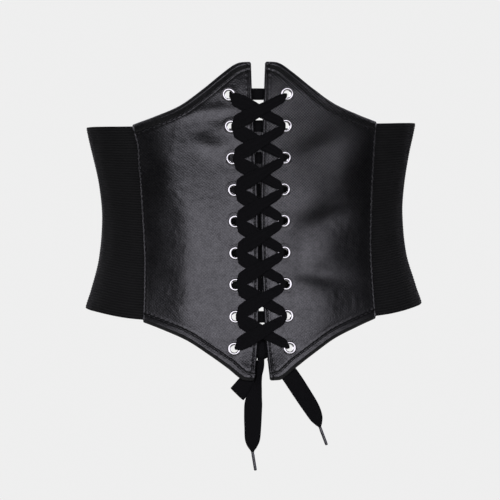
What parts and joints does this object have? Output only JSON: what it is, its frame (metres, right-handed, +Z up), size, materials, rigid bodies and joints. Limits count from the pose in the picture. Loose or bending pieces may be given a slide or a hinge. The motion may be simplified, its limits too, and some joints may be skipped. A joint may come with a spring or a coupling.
{
  "type": "corset belt",
  "caption": "Waist-cinching corset belt, closed as worn: pointed leather-look front panels laced through metal eyelets, elastic sides, a plain back fastening and hanging lace ends.",
  "frame": {"origin": "middle of the waist hollow at the belt's narrowest level", "axes": "+Z up along the body, -Y out of the laced front, +X to the right seen from the front"},
  "size_m": [0.2554, 0.1834, 0.2981],
  "materials": {
    "panel_leather": "glossy, fine pebbled grain",
    "side_elastic": "matte, fine cross ribs",
    "clasp_leather": "satin, fine pebbled grain",
    "eyelet_nickel": "polished nickel plate",
    "lace": "matte flat braid",
    "lace_tip": "glossy"
  },
  "bodies": {
    "root": {"panel_left": "panel_leather", "panel_right": "panel_leather", "elastic_left": "side_elastic", "elastic_right": "side_elastic", "back_clasp": "clasp_leather", "eyelet_left_1": "eyelet_nickel", "eyelet_left_2": "eyelet_nickel", "eyelet_left_3": "eyelet_nickel", "eyelet_left_4": "eyelet_nickel", "eyelet_left_5": "eyelet_nickel", "eyelet_left_6": "eyelet_nickel", "eyelet_left_7": "eyelet_nickel", "eyelet_left_8": "eyelet_nickel", "eyelet_left_9": "eyelet_nickel", "eyelet_right_1": "eyelet_nickel", "eyelet_right_2": "eyelet_nickel", "eyelet_right_3": "eyelet_nickel", "eyelet_right_4": "eyelet_nickel", "eyelet_right_5": "eyelet_nickel", "eyelet_right_6": "eyelet_nickel", "eyelet_right_7": "eyelet_nickel", "eyelet_right_8": "eyelet_nickel", "eyelet_right_9": "eyelet_nickel", "lace_strand_a": "lace", "lace_strand_b": "lace", "bow_knot": "lace", "bow_loop": "lace", "lace_tail_left": "lace", "lace_tail_right": "lace", "lace_tip_left": "lace_tip", "lace_tip_right": "lace_tip"}
  },
  "joints": []
}
